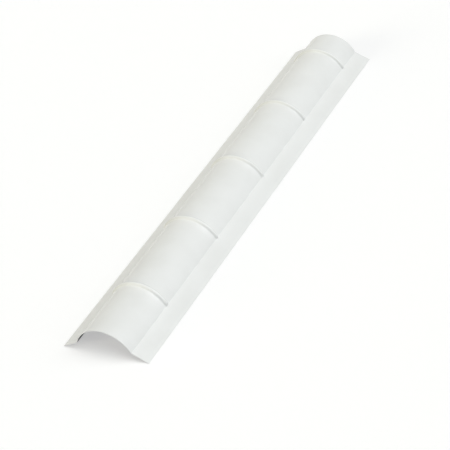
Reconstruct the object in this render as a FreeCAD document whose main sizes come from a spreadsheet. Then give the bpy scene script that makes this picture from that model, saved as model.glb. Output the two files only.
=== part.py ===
"""Half-round roof ridge cap: one steel sheet, arched, folded out to a flange each side and beaded across.

X runs across the cap, Y along the ridge, Z up. The origin is at mid-length, on the level floor that the two
flange edges rest on. The plain lap end, which the next cap covers, is at +Y. Millimetres and degrees.
"""
import FreeCAD, Part
import math
import os
from enum import IntEnum
from functools import partial

from FreeCAD import Vector
from Sketcher import Constraint

NODE = "ridge_cap"

# Name of each driving size, its value, and what it measures on the cap.
DRIVING_SIZES = (
    ("cap_length", "2000", "length over the two cut ends"),
    ("sheet_gauge", "0.5", "thickness of the painted sheet"),
    ("arch_radius", "120", "radius of the arch, to its upper face"),
    ("arch_angle", "135", "angle that the arch spans, from fold to fold"),
    ("fold_radius", "2.5", "radius of each fold, on its upper face"),
    ("flange_width", "70", "flat width of each flange, from fold to cut edge"),
    ("flange_slope", "26", "slope of each flange, below level"),
    ("first_bead", "265", "middle of the first bead, from the -Y end"),
    ("bead_pitch", "400", "distance from bead to bead"),
    ("plain_lap", "130", "least length left plain at the +Y end"),
    ("bead_height", "8", "rise of a bead above the arch"),
    ("crown_radius", "9", "radius of a bead's round back"),
    ("flank_slope", "50", "slope of a bead's straight flanks, above the arch"),
    ("root_depth", "3", "how far a bead's flanks are drawn on below the centre of its back"),
    ("turn_radius", "12", "radius that a bead's middle line turns down on at each end"),
    ("fold_overrun", "4", "how far a bead's end runs on past the fold, measured round the arch"),
)

# A bead's end turns down by a quarter circle, which takes it well below the arch's upper face.
TURN_DOWN = 90.0
# The blank is drawn this many sheets deep at its cut edges, and the cut below it runs that far past them.
EDGE_SHEETS = 2


class Spot(IntEnum):
    """Which point of a sketch line or arc a constraint takes."""

    START = 1
    END = 2
    CENTRE = 3


class OwnAxis(IntEnum):
    """The two axes that every sketch has of its own."""

    LEVEL = -1
    UPRIGHT = -2


ORIGIN = (OwnAxis.LEVEL, Spot.START)

# Depth of the arch's axis below the floor, as the upper face's sketch solves it.
AXIS_DEPTH = "upper_face.Constraints.axis_depth"
# Radius of a bead's middle line round that axis.
RING = "(sizes.arch_radius + sizes.bead_height - sizes.crown_radius)"


def make_size_sheet(doc):
    """Enters the driving sizes in a sheet and gives them back by name."""
    sheet = doc.addObject("Spreadsheet::Sheet", "sizes")
    for row, (name, value, meaning) in enumerate(DRIVING_SIZES, start=1):
        sheet.set(f"A{row}", meaning)
        sheet.set(f"B{row}", value)
        sheet.setAlias(f"B{row}", name)
    doc.recompute()
    return {name: float(sheet.get(name)) for name, _, _ in DRIVING_SIZES}


def polar(centre, radius, degrees):
    """Point at a radius and angle from a centre, in a sketch."""
    angle = math.radians(degrees)
    return centre + Vector(radius * math.cos(angle), radius * math.sin(angle), 0)


def arc(centre, radius, first, last):
    """Arc drawn anticlockwise between two angles in degrees."""
    circle = Part.Circle(centre, Vector(0, 0, 1), radius)
    return Part.ArcOfCircle(circle, math.radians(first), math.radians(last))


def mirrored(point):
    """Same point on the other side of the cap."""
    return Vector(-point.x, point.y, 0)


def axis_height(size):
    """Height of the arch's axis over the floor: up the flange, round the fold and back down to the axis."""
    half = math.radians(size["arch_angle"] / 2)
    slope = math.radians(size["flange_slope"])
    fold_height = (size["sheet_gauge"] + size["fold_radius"]) * math.cos(slope)
    fold_height += size["flange_width"] * math.sin(slope)
    return fold_height - (size["arch_radius"] + size["fold_radius"]) * math.cos(half)


def new_sketch(body, name, plane_role):
    """Empty sketch on one of the body's origin planes."""
    sketch = body.newObject("Sketcher::SketchObject", name)
    planes = {feature.Role: feature for feature in body.Origin.OriginFeatures}
    sketch.AttachmentSupport = [(planes[plane_role], "")]
    sketch.MapMode = "FlatFace"
    return sketch


def dimension(sketch, name, constraint, formula):
    """Adds a named dimension and ties it to the size sheet."""
    index = sketch.addConstraint(constraint)
    sketch.renameConstraint(index, name)
    sketch.setExpression(f"Constraints.{name}", formula)


def outline_sketch(body, size, name, sunk):
    """One face of the cap's section, closed below the flanges.

    The arch runs into each fold and each fold into its flange without a corner, and the end lines stand
    square to the flanges. The upper face is drawn with sunk at 0. With sunk at 1 it is the under face, one
    sheet lower all along and carried on past the cut edges.
    """
    sketch = new_sketch(body, name, "XZ_Plane")
    half = size["arch_angle"] / 2
    slope = size["flange_slope"]
    gauge = size["sheet_gauge"]
    arch_radius = size["arch_radius"] - sunk * gauge
    fold_radius = size["fold_radius"] + sunk * gauge
    flange_width = size["flange_width"] + sunk * EDGE_SHEETS * gauge
    axis = Vector(0, axis_height(size), 0)
    fold = polar(axis, arch_radius + fold_radius, 90 - half)
    foot = polar(fold, fold_radius, 270 - slope)
    tip = polar(foot, flange_width, -slope)
    heel = polar(tip, EDGE_SHEETS * gauge, 270 - slope)
    outline = [
        arc(axis, arch_radius, 90 - half, 90 + half),
        arc(fold, fold_radius, 270 - half, 270 - slope),
        Part.LineSegment(foot, tip),
        Part.LineSegment(tip, heel),
        Part.LineSegment(heel, mirrored(heel)),
        Part.LineSegment(mirrored(heel), mirrored(tip)),
        Part.LineSegment(mirrored(tip), mirrored(foot)),
        arc(mirrored(fold), fold_radius, 270 + slope, 270 + half),
    ]
    arch, right_fold, right_flange, right_edge = range(4)
    base, left_edge, left_flange, left_fold = range(4, 8)
    sketch.addGeometry(outline, False)
    sketch.addConstraint([
        Constraint("Tangent", arch, Spot.START, right_fold, Spot.START),
        Constraint("Tangent", right_fold, Spot.END, right_flange, Spot.START),
        Constraint("Tangent", left_flange, Spot.END, left_fold, Spot.START),
        Constraint("Tangent", left_fold, Spot.END, arch, Spot.END),
        Constraint("Coincident", right_flange, Spot.END, right_edge, Spot.START),
        Constraint("Coincident", right_edge, Spot.END, base, Spot.START),
        Constraint("Coincident", base, Spot.END, left_edge, Spot.START),
        Constraint("Coincident", left_edge, Spot.END, left_flange, Spot.START),
        Constraint("PointOnObject", arch, Spot.CENTRE, OwnAxis.UPRIGHT),
        Constraint("Equal", right_fold, left_fold),
        Constraint("Equal", right_flange, left_flange),
        Constraint("Perpendicular", right_flange, right_edge),
        Constraint("Perpendicular", left_flange, left_edge),
        Constraint("Horizontal", base),
        Constraint("Symmetric", right_flange, Spot.END, left_flange, Spot.START, OwnAxis.UPRIGHT),
    ])
    sheets_down = f"{sunk} * sizes.sheet_gauge"
    edge_depth = f"{EDGE_SHEETS} * sizes.sheet_gauge"
    tie = partial(dimension, sketch)
    tie("arch_radius", Constraint("Radius", arch, arch_radius), f"sizes.arch_radius - {sheets_down}")
    tie("arch_angle", Constraint("Angle", arch, math.radians(2 * half)), "sizes.arch_angle * 1 deg")
    tie("fold_radius", Constraint("Radius", right_fold, fold_radius), f"sizes.fold_radius + {sheets_down}")
    tie(
        "flange_width",
        Constraint("Distance", right_flange, flange_width),
        f"sizes.flange_width + {sunk} * {edge_depth}",
    )
    tie("flange_slope", Constraint("Angle", left_flange, math.radians(slope)), "sizes.flange_slope * 1 deg")
    tie("edge_depth", Constraint("Distance", right_edge, EDGE_SHEETS * gauge), edge_depth)
    return sketch, arch, right_flange


def upper_face_sketch(body, size):
    """Upper face, set so that the lower corner of the finished sheet's cut edge is at height zero."""
    sketch, arch, right_flange = outline_sketch(body, size, "upper_face", sunk=0)
    edge_height = size["sheet_gauge"] * math.cos(math.radians(size["flange_slope"]))
    dimension(
        sketch,
        "edge_height",
        Constraint("DistanceY", *ORIGIN, right_flange, Spot.END, edge_height),
        "sizes.sheet_gauge * cos(sizes.flange_slope * 1 deg)",
    )
    reading = sketch.addConstraint(Constraint("DistanceY", arch, Spot.CENTRE, *ORIGIN, -axis_height(size)))
    sketch.renameConstraint(reading, "axis_depth")
    sketch.setDriving(reading, False)
    return sketch


def under_face_sketch(body, size):
    """Under face, on the same arch axis as the upper face."""
    sketch, arch, _ = outline_sketch(body, size, "under_face", sunk=1)
    axis_depth = Constraint("DistanceY", arch, Spot.CENTRE, *ORIGIN, -axis_height(size))
    dimension(sketch, "axis_depth", axis_depth, AXIS_DEPTH)
    return sketch


def bead_path_sketch(body, size):
    """Middle line of one bead: a ring round the arch's axis that turns down at each end.

    The ring stops where the back of the turned-down end meets the arch's circle one overrun past the fold.
    That meeting point, the turn's centre and the arch's axis make a triangle, and its angle at the axis
    comes from the lengths of its three sides.
    """
    sketch = new_sketch(body, "bead_path", "XZ_Plane")
    sketch.setExpression("AttachmentOffset.Base.z", "sizes.cap_length / 2 - sizes.first_bead")
    to_turn = f"({RING} - sizes.turn_radius)"
    back = "(sizes.turn_radius + sizes.crown_radius)"
    run_out = f"acos((sizes.arch_radius^2 + {to_turn}^2 - {back}^2) / (2 * sizes.arch_radius * {to_turn}))"
    overrun = "(sizes.fold_overrun / sizes.arch_radius * 1 rad)"
    ring_radius = size["arch_radius"] + size["bead_height"] - size["crown_radius"]
    turn_radius = size["turn_radius"]
    half = size["arch_angle"] / 2 - math.degrees(turn_radius / ring_radius)
    axis = Vector(0, axis_height(size), 0)
    turn_centre = polar(axis, ring_radius - turn_radius, 90 - half)
    line = [
        arc(turn_centre, turn_radius, 90 - half - TURN_DOWN, 90 - half),
        arc(axis, ring_radius, 90 - half, 90 + half),
        arc(mirrored(turn_centre), turn_radius, 90 + half, 90 + half + TURN_DOWN),
    ]
    right_turn, middle, left_turn = range(len(line))
    sketch.addGeometry(line, False)
    sketch.addConstraint([
        Constraint("Tangent", right_turn, Spot.END, middle, Spot.START),
        Constraint("Tangent", middle, Spot.END, left_turn, Spot.START),
        Constraint("PointOnObject", middle, Spot.CENTRE, OwnAxis.UPRIGHT),
        Constraint("Horizontal", middle, Spot.START, middle, Spot.END),
        Constraint("Equal", right_turn, left_turn),
        Constraint("Angle", right_turn, math.radians(TURN_DOWN)),
        Constraint("Angle", left_turn, math.radians(TURN_DOWN)),
    ])
    tie = partial(dimension, sketch)
    tie("ring_radius", Constraint("Radius", middle, ring_radius), RING)
    tie("turn_radius", Constraint("Radius", right_turn, turn_radius), "sizes.turn_radius")
    tie(
        "ring_angle",
        Constraint("Angle", middle, math.radians(2 * half)),
        f"sizes.arch_angle * 1 deg - 2 * ({run_out} - {overrun})",
    )
    tie("axis_depth", Constraint("DistanceY", middle, Spot.CENTRE, *ORIGIN, -axis_height(size)), AXIS_DEPTH)
    return sketch


def bead_section_sketch(body, size, name, sunk):
    """Section of a bead at the crown of the arch: a round back and two flanks, closed below the arch.

    With sunk at 0 it is the bead's outside, and with sunk at 1 its hollow, one sheet inside that.
    """
    sketch = new_sketch(body, name, "YZ_Plane")
    from_middle = size["cap_length"] / 2 - size["first_bead"]
    height = axis_height(size) + size["arch_radius"] + size["bead_height"] - size["crown_radius"]
    radius = size["crown_radius"] - sunk * size["sheet_gauge"]
    slope = size["flank_slope"]
    depth = size["root_depth"]
    centre = Vector(-from_middle, height, 0)
    flank = (radius * math.cos(math.radians(slope)) + depth) / math.sin(math.radians(slope))
    far_shoulder = polar(centre, radius, 90 - slope)
    near_shoulder = polar(centre, radius, 90 + slope)
    far_foot = polar(far_shoulder, flank, -slope)
    near_foot = polar(near_shoulder, flank, 180 + slope)
    outline = [
        arc(centre, radius, 90 - slope, 90 + slope),
        Part.LineSegment(far_shoulder, far_foot),
        Part.LineSegment(far_foot, near_foot),
        Part.LineSegment(near_foot, near_shoulder),
    ]
    back, far_flank, base, near_flank = range(len(outline))
    sketch.addGeometry(outline, False)
    sketch.addConstraint([
        Constraint("Tangent", back, Spot.START, far_flank, Spot.START),
        Constraint("Tangent", near_flank, Spot.END, back, Spot.END),
        Constraint("Coincident", far_flank, Spot.END, base, Spot.START),
        Constraint("Coincident", base, Spot.END, near_flank, Spot.START),
        Constraint("Horizontal", base),
        Constraint("Equal", far_flank, near_flank),
    ])
    tie = partial(dimension, sketch)
    tie(
        "back_radius",
        Constraint("Radius", back, radius),
        f"sizes.crown_radius - {sunk} * sizes.sheet_gauge",
    )
    tie("back_angle", Constraint("Angle", back, math.radians(2 * slope)), "2 * sizes.flank_slope * 1 deg")
    tie(
        "root_depth",
        Constraint("DistanceY", base, Spot.START, back, Spot.CENTRE, depth),
        "sizes.root_depth",
    )
    tie(
        "from_middle",
        Constraint("DistanceX", back, Spot.CENTRE, *ORIGIN, from_middle),
        "sizes.cap_length / 2 - sizes.first_bead",
    )
    tie(
        "height",
        Constraint("DistanceY", *ORIGIN, back, Spot.CENTRE, height),
        f"bead_path.Constraints.ring_radius - {AXIS_DEPTH}",
    )
    return sketch


def bead_feature(body, kind, name, section, path):
    """Carries a bead's section along its path, to add it or to cut it out."""
    feature = body.newObject(f"PartDesign::{kind}", name)
    feature.Profile = section
    feature.Spine = (path, ["Edge1", "Edge2", "Edge3"])
    return feature


def row_of(body, feature, name):
    """Repeats a feature along the ridge, as often as leaves the plain lap at the far end."""
    row = body.newObject("PartDesign::LinearPattern", name)
    row.Originals = [feature]
    ridge_line = next(line for line in body.Origin.OriginFeatures if line.Role == "Y_Axis")
    row.Direction = (ridge_line, [""])
    row.Mode = "Spacing"
    row.setExpression("Offset", "sizes.bead_pitch")
    row.setExpression(
        "Occurrences",
        "floor((sizes.cap_length - sizes.first_bead - sizes.plain_lap) / sizes.bead_pitch) + 1",
    )
    body.Tip = row
    return row


def build_cap(doc, size):
    """The whole cap: a blank under the upper face, beads on it, then all but one sheet cut away below."""
    body = doc.addObject("PartDesign::Body", NODE)
    body.Label = NODE

    blank = body.newObject("PartDesign::Pad", "blank")
    blank.Profile = upper_face_sketch(body, size)
    blank.SideType = "Symmetric"
    blank.setExpression("Length", "sizes.cap_length")
    doc.recompute()

    path = bead_path_sketch(body, size)
    back = bead_section_sketch(body, size, "bead_back", sunk=0)
    doc.recompute()
    row_of(body, bead_feature(body, "AdditivePipe", "bead", back, path), "bead_row")
    doc.recompute()

    underside = body.newObject("PartDesign::Pocket", "underside")
    underside.Profile = under_face_sketch(body, size)
    underside.SideType = "Symmetric"
    underside.Type = "ThroughAll"
    doc.recompute()

    inside = bead_section_sketch(body, size, "bead_inside", sunk=1)
    doc.recompute()
    row_of(body, bead_feature(body, "SubtractivePipe", "bead_hollow", inside, path), "hollow_row")
    doc.recompute()
    return body


def check(doc, body):
    """Stops if any object failed, a sketch is loose, or the cap isn't one valid solid."""
    for item in doc.Objects:
        if {"Invalid", "Error"} & set(item.State):
            raise RuntimeError(f"{item.Name} did not build")
        if item.isDerivedFrom("Sketcher::SketchObject") and not item.FullyConstrained:
            raise RuntimeError(f"{item.Name} is not fully constrained")
    if body.Shape.isNull() or not body.Shape.isValid() or len(body.Shape.Solids) != 1:
        raise RuntimeError(f"{body.Label} is not one valid solid")


def main():
    """Builds the cap and writes its solid."""
    doc = FreeCAD.newDocument("roof_ridge_cap")
    size = make_size_sheet(doc)
    cap = build_cap(doc, size)
    check(doc, cap)
    os.makedirs("parts", exist_ok=True)
    cap.Shape.exportStep(f"parts/{cap.Label}.step")
    box = cap.Shape.optimalBoundingBox()
    print(f"{cap.Label}: {box.XLength:.2f} x {box.YLength:.2f} x {box.ZLength:.2f} mm")
    print(f"lowest at {box.ZMin:.4f} mm, volume {cap.Shape.Volume:.0f} mm3, {len(cap.Shape.Faces)} faces")


main()
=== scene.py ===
"""Looks of the roof ridge cap: one rolled, folded and bead-pressed steel sheet, painted white.

Lengths are in metres and angles in degrees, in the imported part's own frame: +X across the cap, +Y along the
ridge towards the plain lap end, +Z up from the floor that the two flange edges rest on.
"""

import logging
import math
from dataclasses import dataclass, field
from enum import IntEnum

import bpy
import numpy as np
from mathutils import Matrix, Vector


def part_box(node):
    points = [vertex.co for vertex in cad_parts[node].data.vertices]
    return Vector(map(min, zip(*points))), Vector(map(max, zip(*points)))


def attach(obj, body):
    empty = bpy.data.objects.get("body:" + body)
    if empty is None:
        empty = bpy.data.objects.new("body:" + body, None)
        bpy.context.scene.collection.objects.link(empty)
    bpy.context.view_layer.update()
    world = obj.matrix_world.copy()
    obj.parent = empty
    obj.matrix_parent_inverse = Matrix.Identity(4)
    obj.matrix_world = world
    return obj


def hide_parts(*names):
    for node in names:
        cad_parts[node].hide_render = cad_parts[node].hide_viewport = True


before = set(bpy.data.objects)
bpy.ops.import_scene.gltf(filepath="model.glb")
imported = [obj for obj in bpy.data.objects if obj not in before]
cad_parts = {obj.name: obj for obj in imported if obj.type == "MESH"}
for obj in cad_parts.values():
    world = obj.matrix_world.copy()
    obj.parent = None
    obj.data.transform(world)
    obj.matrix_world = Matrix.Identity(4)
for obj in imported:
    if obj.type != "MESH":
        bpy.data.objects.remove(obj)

Socket = bpy.types.NodeSocket
Span = tuple[float, float]
Triple = tuple[float, float, float]

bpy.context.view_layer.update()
NODE = "ridge_cap"
BODY = "root"
PIECE = "cap_sheet"
RUN_ATTRIBUTE = "sheet_run"
WHITE = (1.0, 1.0, 1.0, 1.0)
COAT_IOR = 1.5
NOISE_FALL = 0.55
NOISE_MIDDLE: Span = (0.3, 0.7)

log = logging.getLogger("ridge_cap")


class Coat(IntEnum):
    """The sheet's finishes, in the order of the piece's material slots."""

    PAINT = 0
    BACKING = 1
    CUT_EDGE = 2


class NodeBench:
    """The nodes of a new material or world, added and joined by short calls."""

    def __init__(self, owner: bpy.types.Material | bpy.types.World) -> None:
        """Empties the owner's nodes and adds the output.

        Args:
            owner: the new material or world.
        """
        owner.use_nodes = True
        self.owner = owner
        self.tree = owner.node_tree
        self.tree.nodes.clear()
        in_world = isinstance(owner, bpy.types.World)
        self.output = self.add("ShaderNodeOutputWorld" if in_world else "ShaderNodeOutputMaterial")

    def add(self, kind: str, settings: dict | None = None, **inputs: object) -> bpy.types.Node:
        """Adds a node.

        Args:
            kind: the node's type name.
            settings: properties of the node itself.
            **inputs: values for its input sockets, with underscores for the spaces in their names.

        Returns:
            The new node.
        """
        node = self.tree.nodes.new(kind)
        for name, value in (settings or {}).items():
            setattr(node, name, value)
        for name, value in inputs.items():
            node.inputs[name.replace("_", " ")].default_value = value
        return node

    def join(self, source: Socket, target: Socket) -> None:
        """Links an output socket to an input socket."""
        self.tree.links.new(source, target)

    def surface(self, source: Socket) -> None:
        """Makes a shader the owner's surface."""
        self.join(source, self.output.inputs["Surface"])

    def seen(self) -> Socket:
        """Tells rays that look at things from rays that light them.

        Returns:
            A value of 1 on rays from the camera, off gloss or through glass, and 0 on all others.
        """
        rays = self.add("ShaderNodeLightPath")
        seen = rays.outputs["Is Camera Ray"]
        for name in ("Is Glossy Ray", "Is Transmission Ray"):
            either = self.add("ShaderNodeMath", {"operation": "MAXIMUM"})
            self.join(seen, either.inputs[0])
            self.join(rays.outputs[name], either.inputs[1])
            seen = either.outputs["Value"]
        return seen

    def noise(self, place: Socket, cells: Triple, detail: float) -> Socket:
        """Adds noise.

        Args:
            place: the coordinates that the noise is read at.
            cells: cells of noise per metre on the three axes.
            detail: octaves of finer noise.

        Returns:
            The noise's value, from 0 to 1.
        """
        mapping = self.add("ShaderNodeMapping", Scale=cells)
        texture = self.add("ShaderNodeTexNoise", Scale=1.0, Detail=detail, Roughness=NOISE_FALL)
        self.join(place, mapping.inputs["Vector"])
        self.join(mapping.outputs["Vector"], texture.inputs["Vector"])
        return texture.outputs["Fac"]

    def ramp(self, value: Socket, low: Triple, high: Triple, span: Span = NOISE_MIDDLE) -> Socket:
        """Adds a smooth ramp between two colours.

        Args:
            value: what drives the ramp.
            low: the colour at and below the span's start.
            high: the colour at and above the span's end.
            span: where the ramp starts and ends.

        Returns:
            The ramp's colour.
        """
        node = self.add("ShaderNodeValToRGB")
        node.color_ramp.interpolation = "EASE"
        for element, place, colour in zip(node.color_ramp.elements, span, (low, high)):
            element.position = place
            element.color = (*colour, 1.0)
        self.join(value, node.inputs["Fac"])
        return node.outputs["Color"]

    def spread(self, value: Socket, span: Span) -> Socket:
        """Maps the middle of a noise's range onto a span.

        Args:
            value: the noise.
            span: what the middle's start and end become.

        Returns:
            The mapped value.
        """
        start, end = NOISE_MIDDLE
        low, high = span
        node = self.add("ShaderNodeMapRange", From_Min=start, From_Max=end, To_Min=low, To_Max=high)
        self.join(value, node.inputs["Value"])
        return node.outputs["Result"]

    def bump(self, shader: bpy.types.Node, height: Socket, strength: float, depth: float) -> None:
        """Gives a shader fine relief.

        Args:
            shader: the shader that takes the relief.
            height: the relief's height, from 0 to 1.
            strength: the share of the relief that shows.
            depth: the relief's depth.
        """
        node = self.add("ShaderNodeBump", Strength=strength, Distance=depth)
        self.join(height, node.inputs["Height"])
        self.join(node.outputs["Normal"], shader.inputs["Normal"])


@dataclass(frozen=True)
class PolyesterPaint:
    """The white top coat: satin coil paint, faintly mottled, with roller streaks and a fine orange peel."""

    light: Triple = (0.850, 0.856, 0.842)
    dark: Triple = (0.826, 0.831, 0.815)
    roughness: Span = (0.235, 0.265)
    mottle_cells: Triple = (9.0, 9.0, 9.0)
    mottle_span: Span = (0.32, 0.66)
    streak_cells: Triple = (160.0, 2.5, 1.0)
    peel_cells: Triple = (700.0, 700.0, 700.0)
    peel_strength: float = 0.5
    peel_depth: float = 0.00001

    def material(self) -> bpy.types.Material:
        """Makes the paint.

        Colour is the light tint eased to the dark one by broad noise. Roughness follows faint streaks that
        the rollers drew along the sheet. The bump is a fine, even noise.

        Returns:
            The paint's material.
        """
        bench = NodeBench(bpy.data.materials.new("white_polyester_paint"))
        place = bench.add("ShaderNodeTexCoord").outputs["Object"]
        run = bench.add("ShaderNodeAttribute", {"attribute_name": RUN_ATTRIBUTE}).outputs["Vector"]
        shader = bench.add("ShaderNodeBsdfPrincipled", IOR=COAT_IOR)
        mottle = bench.noise(place, self.mottle_cells, detail=3.0)
        streaks = bench.noise(run, self.streak_cells, detail=2.0)
        peel = bench.noise(place, self.peel_cells, detail=1.0)
        bench.join(bench.ramp(mottle, self.dark, self.light, self.mottle_span), shader.inputs["Base Color"])
        bench.join(bench.spread(streaks, self.roughness), shader.inputs["Roughness"])
        bench.bump(shader, peel, self.peel_strength, self.peel_depth)
        bench.surface(shader.outputs["BSDF"])
        return bench.owner


@dataclass(frozen=True)
class BackingCoat:
    """The thin grey coat under the sheet, duller and more uneven than the top coat."""

    light: Triple = (0.235, 0.238, 0.240)
    dark: Triple = (0.170, 0.174, 0.178)
    roughness: Span = (0.5, 0.65)
    streak_cells: Triple = (90.0, 3.0, 1.0)
    grain_strength: float = 0.4
    grain_depth: float = 0.00003

    def material(self) -> bpy.types.Material:
        """Makes the coat: two greys mixed by streaky noise, which also drives roughness and bump.

        Returns:
            The coat's material.
        """
        bench = NodeBench(bpy.data.materials.new("grey_backing_coat"))
        run = bench.add("ShaderNodeAttribute", {"attribute_name": RUN_ATTRIBUTE}).outputs["Vector"]
        shader = bench.add("ShaderNodeBsdfPrincipled", IOR=COAT_IOR)
        streaks = bench.noise(run, self.streak_cells, detail=4.0)
        bench.join(bench.ramp(streaks, self.dark, self.light), shader.inputs["Base Color"])
        bench.join(bench.spread(streaks, self.roughness), shader.inputs["Roughness"])
        bench.bump(shader, streaks, self.grain_strength, self.grain_depth)
        bench.surface(shader.outputs["BSDF"])
        return bench.owner


@dataclass(frozen=True)
class ShearedEdge:
    """The bare steel and zinc that shows along the sheet's cut edges."""

    bright: Triple = (0.62, 0.63, 0.64)
    dull: Triple = (0.44, 0.45, 0.46)
    roughness: Span = (0.35, 0.55)
    mark_cells: Triple = (1500.0, 1500.0, 300.0)

    def material(self) -> bpy.types.Material:
        """Makes the edge: brushed zinc, whose shear marks are a fine noise drawn out upwards.

        Returns:
            The edge's material.
        """
        bench = NodeBench(bpy.data.materials.new("sheared_zinc_edge"))
        place = bench.add("ShaderNodeTexCoord").outputs["Object"]
        shader = bench.add("ShaderNodeBsdfPrincipled", Metallic=1.0)
        marks = bench.noise(place, self.mark_cells, detail=2.0)
        bench.join(bench.ramp(marks, self.dull, self.bright), shader.inputs["Base Color"])
        bench.join(bench.spread(marks, self.roughness), shader.inputs["Roughness"])
        bench.surface(shader.outputs["BSDF"])
        return bench.owner


@dataclass(frozen=True)
class Section:
    """The upper face's section: an arch, a fold at each foot and a sloping flange beyond it."""

    gauge: float = 0.0005
    arch_radius: float = 0.120
    arch_reach: float = 67.5
    fold_radius: float = 0.0025
    flange_width: float = 0.070
    flange_slope: float = 26.0
    foot_share: float = 0.2
    landing: float = 0.008
    station_counts: tuple[int, ...] = (36, 26, 6, 8, 8)

    @property
    def arch_run(self) -> float:
        """Length of the arch from the crown to a foot."""
        return self.arch_radius * math.radians(self.arch_reach)

    @property
    def fold_run(self) -> float:
        """Length of one fold's arc."""
        return self.fold_radius * math.radians(self.arch_reach - self.flange_slope)

    @property
    def edge_run(self) -> float:
        """Length from the crown to a flange's edge."""
        return self.arch_run + self.fold_run + self.flange_width

    @property
    def fold_centre(self) -> tuple[float, float]:
        """The right fold's centre, across and up from the arch's axis: out along the normal at the foot."""
        reach = self.arch_radius + self.fold_radius
        angle = math.radians(self.arch_reach)
        return reach * math.sin(angle), reach * math.cos(angle)

    @property
    def axis_height(self) -> float:
        """Height of the arch's axis, which puts the under corner of the flange's edge on the floor."""
        slope = math.radians(self.flange_slope)
        drop = (self.fold_radius + self.gauge) * math.cos(slope) + self.flange_width * math.sin(slope)
        return drop - self.fold_centre[1]

    def runs(self) -> np.ndarray:
        """Spaces the stations across the section, closer together at the bead ends and round the folds.

        Returns:
            The stations' signed runs from the crown, left to right.
        """
        foot = self.arch_run + self.fold_run
        foot_start = (1.0 - self.foot_share) * self.arch_run
        marks = (0.0, foot_start, self.arch_run, foot, foot + self.landing, self.edge_run)
        spans = zip(marks[:-1], marks[1:], self.station_counts)
        stretches = [np.linspace(start, end, count, endpoint=False) for start, end, count in spans]
        half = np.append(np.concatenate(stretches), self.edge_run)
        return np.concatenate([-half[:0:-1], half])

    def curve(self, runs: np.ndarray) -> tuple[np.ndarray, np.ndarray]:
        """Places stations on the section.

        On the arch the normal's lean from upright is run / radius. Through the fold it eases back to the
        flange's slope, and on the flange it stays there. Places follow from the arch's axis, the fold's
        centre and the flange's foot, and the left half is the right half mirrored.

        Args:
            runs: signed lengths along the section from the crown.

        Returns:
            Places and unit normals, each an array of (across, up) rows.
        """
        run = np.abs(runs)
        side = np.where(runs < 0.0, -1.0, 1.0)
        past_foot = np.clip(run - self.arch_run, 0.0, self.fold_run)
        past_fold = np.clip(run - self.arch_run - self.fold_run, 0.0, None)
        lean = np.minimum(run, self.arch_run) / self.arch_radius - past_foot / self.fold_radius
        outward, upward = np.sin(lean), np.cos(lean)
        on_arch = run <= self.arch_run
        centre_out, centre_up = self.fold_centre
        beyond_out = centre_out - self.fold_radius * outward + past_fold * upward
        beyond_up = centre_up - self.fold_radius * upward - past_fold * outward
        across = np.where(on_arch, self.arch_radius * outward, beyond_out)
        up = np.where(on_arch, self.arch_radius * upward, beyond_up)
        places = np.stack([side * across, up + self.axis_height], axis=-1)
        return places, np.stack([side * outward, upward], axis=-1)

    def rays(self, runs: np.ndarray) -> np.ndarray:
        """Returns the unit rays from the arch's axis through the stations, which the section faces."""
        rays = self.curve(runs)[0] - (0.0, self.axis_height)
        return rays / np.linalg.norm(rays, axis=1, keepdims=True)


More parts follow.
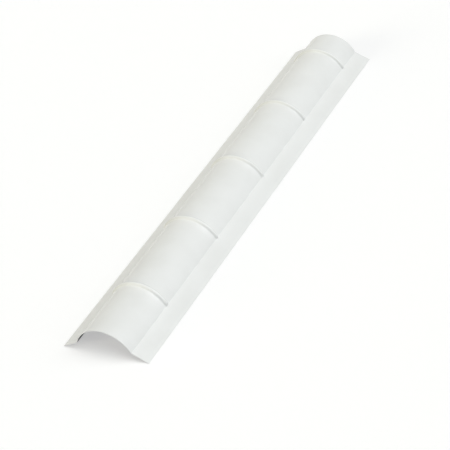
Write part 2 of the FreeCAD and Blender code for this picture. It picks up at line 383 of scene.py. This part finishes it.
@dataclass(frozen=True)
class BeadRow:
    """Beads pressed across the arch: round crowns, straight flanks and ends turned down past each fold."""

    first: float = 0.265
    pitch: float = 0.400
    count: int = 5
    height: float = 0.008
    crown_radius: float = 0.009
    flank_slope: float = 50.0
    turn_radius: float = 0.012
    fold_overrun: float = 0.004
    root_radius: float = 0.003
    flank_stations: int = 16
    flank_margin: float = 1.05
    plain_stations: int = 12
    solver_steps: int = 30
    flat_below: float = 1e-7

    @property
    def half_width(self) -> float:
        """Half a bead's width at the sheet: across the crown's round, down the flank and out its root."""
        slope = math.radians(self.flank_slope)
        flank_drop = self.height - self.crown_radius * (1.0 - math.cos(slope))
        root = self.root_radius * math.tan(0.5 * slope)
        return self.crown_radius * math.sin(slope) + flank_drop / math.tan(slope) + root

    def ring_radius(self, section: Section) -> float:
        """Returns the radius of a bead's middle line round the arch's axis."""
        return section.arch_radius + self.height - self.crown_radius

    def reach(self, section: Section) -> float:
        """Works out where a bead starts to turn down.

        The back of the turned-down end meets the arch's circle one overrun past the fold. The angle between
        that point and the turn's centre, seen from the arch's axis, comes from the sides of their triangle.

        Args:
            section: the plain section.

        Returns:
            The angle from the crown, in radians.
        """
        to_turn = self.ring_radius(section) - self.turn_radius
        back = self.turn_radius + self.crown_radius
        squares = section.arch_radius ** 2 + to_turn ** 2 - back ** 2
        run_out = math.acos(squares / (2.0 * section.arch_radius * to_turn))
        return math.radians(section.arch_reach) - run_out + self.fold_overrun / section.arch_radius

    def places(self, near_end: float) -> np.ndarray:
        """Returns where the beads' middles lie along the cap, counted from its near end."""
        return near_end + self.first + self.pitch * np.arange(self.count)

    def stations(self, near_end: float, far_end: float) -> np.ndarray:
        """Spaces the stations along the cap: close together over each bead, wider on the plain sheet.

        Args:
            near_end: where the cap starts.
            far_end: where the cap ends.

        Returns:
            The stations' places, near to far.
        """
        flank = self.flank_margin * self.half_width
        places = self.places(near_end)
        over_bead = np.linspace(-flank, flank, 2 * self.flank_stations + 1)
        starts = np.concatenate([[near_end], places + flank])
        ends = np.concatenate([places - flank, [far_end]])
        shares = np.linspace(0.0, 1.0, self.plain_stations + 1)[1:-1]
        on_beads = places[:, None] + over_bead
        between = starts[:, None] + (ends - starts)[:, None] * shares
        return np.sort(np.concatenate([[near_end, far_end], on_beads.ravel(), between.ravel()]))

    def clearance(
        self, section: Section, across: np.ndarray, up: np.ndarray, offset: np.ndarray
    ) -> np.ndarray:
        """Measures how far points stand clear of a bead's outside.

        The bead's middle line keeps to one radius up to the bead's reach, and past that bends down round a
        turn centre. Seen square to that line the outside is a round crown between two straight flanks, so the
        clearance is the distance from the line less the crown's radius, or past the crown's end the distance
        from the flank.

        Args:
            section: the plain section.
            across: distance from the arch's axis along X.
            up: distance above the arch's axis.
            offset: distance along the cap from the bead's middle.

        Returns:
            The clearance, negative inside the bead.
        """
        ring = self.ring_radius(section)
        radius = np.hypot(across, up)
        past = np.clip(np.abs(np.arctan2(across, up)) - self.reach(section), 0.0, None)
        along = radius * np.sin(past)
        above = radius * np.cos(past) - (ring - self.turn_radius)
        rise = np.where(past > 0.0, np.hypot(along, above) - self.turn_radius, radius - ring)
        slope = math.radians(self.flank_slope)
        crown = np.hypot(rise, offset)
        flank = offset * math.sin(slope) + rise * math.cos(slope)
        return np.where(np.arctan2(offset, rise) < slope, crown, flank) - self.crown_radius

    def relief(self, section: Section, runs: np.ndarray, along: np.ndarray, near_end: float) -> np.ndarray:
        """Works out how far the pressed sheet stands proud of the plain one, on rays from the arch's axis.

        Sheet and bead are joined by a rounded union. With a the height over the plain sheet, which is the
        rise on the ray times the cosine between ray and normal, b the clearance from the bead and r the root
        radius, the surface is where max(r, min(a, b)) = hypot(max(r - a, 0), max(r - b, 0)). Halving between
        no rise and twice the bead's height finds it.

        Args:
            section: the plain section.
            runs: stations across the section.
            along: stations along the cap.
            near_end: where the cap starts.

        Returns:
            Rises, one row for each station along the cap.
        """
        places, normals = section.curve(runs)
        rays = section.rays(runs)
        lean = (rays * normals).sum(axis=1)
        root = self.root_radius
        nearest = np.abs(along[:, None] - self.places(near_end)).min(axis=1)[:, None]
        low = np.zeros((along.size, runs.size))
        high = np.full_like(low, 2.0 * self.height)
        for _ in range(self.solver_steps):
            rise = 0.5 * (low + high)
            across = places[:, 0] + rise * rays[:, 0]
            up = places[:, 1] + rise * rays[:, 1] - section.axis_height
            clear = self.clearance(section, across, up, nearest)
            height = rise * lean
            gap = np.maximum(root, np.minimum(height, clear))
            gap = gap - np.hypot(np.maximum(root - height, 0.0), np.maximum(root - clear, 0.0))
            low = np.where(gap < 0.0, rise, low)
            high = np.where(gap < 0.0, high, rise)
        return np.where(high < self.flat_below, 0.0, high)


@dataclass
class CapSheet:
    """The whole cap: a painted upper face, a coated under face one gauge below and cut edges between."""

    section: Section
    beads: BeadRow
    near_end: float
    far_end: float
    ripple_height: float = 0.0003
    ripple_waves: Span = (7.3, 17.9)
    short_wave_share: float = 0.6
    left_phase: float = 1.7
    sharp_from: float = 60.0
    piece: bpy.types.Object | None = field(default=None, init=False)

    def ripple(self, runs: np.ndarray, along: np.ndarray) -> np.ndarray:
        """Works out the flanges' faint ripple.

        It is the sum of two slow waves along the cap, lifted to stay above the plain section, and it grows
        with the square of the way out from the arch.

        Args:
            runs: stations across the section.
            along: stations along the cap.

        Returns:
            Heights along the normals, one row for each station along the cap.
        """
        way_out = np.clip((np.abs(runs) - self.section.arch_run) / self.section.flange_width, 0.0, 1.0)
        phase = np.where(runs < 0.0, self.left_phase, 0.0)
        long_wave, short_wave = (wave * along[:, None] for wave in self.ripple_waves)
        waves = np.sin(long_wave + phase) + self.short_wave_share * np.sin(short_wave + 2.0 * phase)
        return self.ripple_height * way_out ** 2 * (waves / (1.0 + self.short_wave_share) + 1.0)

    def upper_face(self) -> tuple[np.ndarray, np.ndarray]:
        """Works out the painted face.

        Each point is its section's place, carried out on its ray by the bead relief and along its normal by
        the ripple.

        Returns:
            Points as rows along the cap by stations across it, and each point's (run, along, 0).
        """
        runs = self.section.runs()
        along = self.beads.stations(self.near_end, self.far_end)
        places, normals = self.section.curve(runs)
        rays = self.section.rays(runs)
        rise = self.beads.relief(self.section, runs, along, self.near_end)
        ripple = self.ripple(runs, along)
        points = np.empty((along.size, runs.size, 3))
        points[..., 0] = places[:, 0] + rise * rays[:, 0] + ripple * normals[:, 0]
        points[..., 1] = along[:, None]
        points[..., 2] = places[:, 1] + rise * rays[:, 1] + ripple * normals[:, 1]
        run_marks = np.zeros_like(points)
        run_marks[..., 0] = runs
        run_marks[..., 1] = along[:, None]
        return points, run_marks

    def under_face(self, upper: np.ndarray) -> np.ndarray:
        """Moves the upper face one gauge inwards along its normals, the cross products of its grid lines.

        Args:
            upper: the painted face's points.

        Returns:
            The under face's points, in the same grid.
        """
        lengthwise = np.gradient(upper, axis=0)
        crosswise = np.gradient(upper, axis=1)
        normals = np.cross(crosswise, lengthwise)
        normals /= np.linalg.norm(normals, axis=-1, keepdims=True)
        return upper - self.section.gauge * normals

    def build(self) -> None:
        """Makes the closed mesh: two grids of quads back to back, and a strip of quads round their border.

        The border's edges are sharp, so that the two faces keep their own shading right up to the cut.
        """
        upper, run_marks = self.upper_face()
        rows, columns = upper.shape[:2]
        points = np.concatenate([upper.reshape(-1, 3), self.under_face(upper).reshape(-1, 3)])
        index = np.arange(rows * columns).reshape(rows, columns)
        corners = [index[:-1, :-1], index[:-1, 1:], index[1:, 1:], index[1:, :-1]]
        top = np.stack(corners, axis=-1).reshape(-1, 4)
        under = top[:, ::-1] + index.size
        border = np.concatenate([index[0, :-1], index[:-1, -1], index[-1, :0:-1], index[:0:-1, 0]])
        onward = np.roll(border, -1)
        strip = np.stack([border, border + index.size, onward + index.size, onward], axis=-1)
        faces = np.concatenate([top, under, strip])
        coats = np.repeat([Coat.PAINT, Coat.BACKING, Coat.CUT_EDGE], [len(top), len(under), len(strip)])
        mesh = bpy.data.meshes.new(PIECE)
        mesh.from_pydata(points, [], faces.tolist())
        mesh.polygons.foreach_set("material_index", coats.astype(np.int32))
        mesh.set_sharp_from_angle(angle=math.radians(self.sharp_from))
        marks = mesh.attributes.new(RUN_ATTRIBUTE, "FLOAT_VECTOR", "POINT")
        marks.data.foreach_set("vector", np.concatenate([run_marks, run_marks]).ravel().astype(np.float32))
        mesh.update()
        mesh.validate()
        self.piece = bpy.data.objects.new(PIECE, mesh)
        bpy.context.scene.collection.objects.link(self.piece)

    def dress(self) -> None:
        """Gives the sheet its three finishes, in the order of Coat, and its place in the frame."""
        for finish in (PolyesterPaint(), BackingCoat(), ShearedEdge()):
            self.piece.data.materials.append(finish.material())
        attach(self.piece, BODY)
        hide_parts(NODE)


@dataclass(frozen=True)
class PhotoCamera:
    """The camera that sees the cap as the photograph does."""

    aim: Triple = (0.11877, -0.27594, 0.05)
    distance: float = 5.9761
    look_down: float = 35.6069
    heading: float = -33.7326
    roll: float = -12.3171
    view_angle: float = 15.992

    def build(self) -> None:
        """Makes the camera and sets it as the scene's own.

        It looks along a level heading turned down by look_down, and the roll turns its right and its up.
        """
        down, heading, roll = (math.radians(a) for a in (self.look_down, self.heading, self.roll))
        onward = math.cos(down)
        ahead = Vector((math.sin(heading) * onward, math.cos(heading) * onward, -math.sin(down)))
        level = Vector((math.cos(heading), -math.sin(heading), 0.0))
        upright = level.cross(ahead)
        right = math.cos(roll) * level + math.sin(roll) * upright
        axes = Matrix((right, right.cross(ahead), -ahead)).transposed().to_4x4()
        data = bpy.data.cameras.new("photo_camera")
        data.sensor_fit = "HORIZONTAL"
        data.angle = math.radians(self.view_angle)
        camera = bpy.data.objects.new("photo_camera", data)
        camera.matrix_world = Matrix.Translation(Vector(self.aim) - self.distance * ahead) @ axes
        bpy.context.scene.collection.objects.link(camera)
        bpy.context.scene.camera = camera


@dataclass(frozen=True)
class SoftLamp:
    """A broad, distant studio lamp that leans from overhead towards a bearing, from +X towards +Y."""

    name: str
    lean: float
    bearing: float
    strength: float
    softness: float
    tint: Triple

    def build(self) -> None:
        """Makes the lamp, turned to shine down from its lean and bearing."""
        data = bpy.data.lights.new(self.name, "SUN")
        data.energy = self.strength
        data.color = self.tint
        data.angle = math.radians(self.softness)
        lamp = bpy.data.objects.new(self.name, data)
        lean, bearing = math.radians(self.lean), math.radians(self.bearing)
        level = math.sin(lean)
        source = Vector((level * math.cos(bearing), level * math.sin(bearing), math.cos(lean)))
        lamp.rotation_euler = source.to_track_quat("Z", "Y").to_euler()
        bpy.context.scene.collection.objects.link(lamp)


LAMPS = (
    SoftLamp("key", lean=60.0, bearing=6.0, strength=1.22, softness=64.0, tint=(0.977, 1.0, 1.006)),
    SoftLamp("top_right", lean=28.0, bearing=5.0, strength=1.60, softness=64.0, tint=(0.977, 1.0, 1.006)),
    SoftLamp("overhead", lean=20.0, bearing=170.0, strength=0.50, softness=40.0, tint=(1.01, 1.0, 0.92)),
    SoftLamp("near_left", lean=78.0, bearing=232.0, strength=1.45, softness=32.0, tint=(1.04, 1.0, 0.82)),
)


@dataclass(frozen=True)
class Studio:
    """Soft studio light over a plain pale floor that reads white around the cap's shadow."""

    lamps: tuple[SoftLamp, ...] = LAMPS
    floor_half: float = 30.0
    floor_tone: float = 0.28
    floor_glow: float = 0.4

    @property
    def open_light(self) -> float:
        """Light on the open floor: each lamp's strength times the cosine of its lean, summed, over pi."""
        return sum(lamp.strength * math.cos(math.radians(lamp.lean)) for lamp in self.lamps) / math.pi

    def build(self) -> None:
        """Sets the plain view transform and makes the world, the lamps and the floor."""
        bpy.context.scene.view_settings.view_transform = "Standard"
        self.world()
        for lamp in self.lamps:
            lamp.build()
        self.floor()

    def world(self) -> None:
        """Makes the surroundings: white where they are looked at, and giving no other light."""
        bench = NodeBench(bpy.data.worlds.new("studio"))
        background = bench.add("ShaderNodeBackground", Color=WHITE)
        bench.join(bench.seen(), background.inputs["Strength"])
        bench.surface(background.outputs["Background"])
        bpy.context.scene.world = bench.owner

    def floor(self) -> None:
        """Makes the floor: grey to the light that it sends back, but seen as white with a softened shadow.

        What is seen is part plain white surface and part glow, as strong as brings the open floor to white.
        """
        half = self.floor_half
        corners = [(-half, -half, 0.0), (half, -half, 0.0), (half, half, 0.0), (-half, half, 0.0)]
        mesh = bpy.data.meshes.new("floor")
        mesh.from_pydata(corners, [], [(0, 1, 2, 3)])
        bench = NodeBench(bpy.data.materials.new("pale_floor"))
        lit = bench.add("ShaderNodeBsdfDiffuse", Color=(self.floor_tone,) * 3 + (1.0,))
        white = bench.add("ShaderNodeBsdfDiffuse", Color=WHITE)
        strength = (1.0 - (1.0 - self.floor_glow) * self.open_light) / self.floor_glow
        glow = bench.add("ShaderNodeEmission", Color=WHITE, Strength=strength)
        shown = bench.add("ShaderNodeMixShader", Fac=self.floor_glow)
        chosen = bench.add("ShaderNodeMixShader")
        bench.join(white.outputs["BSDF"], shown.inputs[1])
        bench.join(glow.outputs["Emission"], shown.inputs[2])
        bench.join(bench.seen(), chosen.inputs["Fac"])
        bench.join(lit.outputs["BSDF"], chosen.inputs[1])
        bench.join(shown.outputs["Shader"], chosen.inputs[2])
        bench.surface(chosen.outputs["Shader"])
        mesh.materials.append(bench.owner)
        floor = bpy.data.objects.new("floor", mesh)
        bpy.context.scene.collection.objects.link(floor)


def main() -> None:
    """Builds the cap and its studio in order and reports each."""
    logging.basicConfig(level=logging.INFO, format="%(message)s")
    low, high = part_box(NODE)
    cap = CapSheet(Section(), BeadRow(), near_end=low.y, far_end=high.y)
    cap.build()
    cap.dress()
    log.info("%s: %d faces", PIECE, len(cap.piece.data.polygons))
    Studio().build()
    PhotoCamera().build()
    log.info("studio and camera set")


if __name__ == "__main__":
    main()
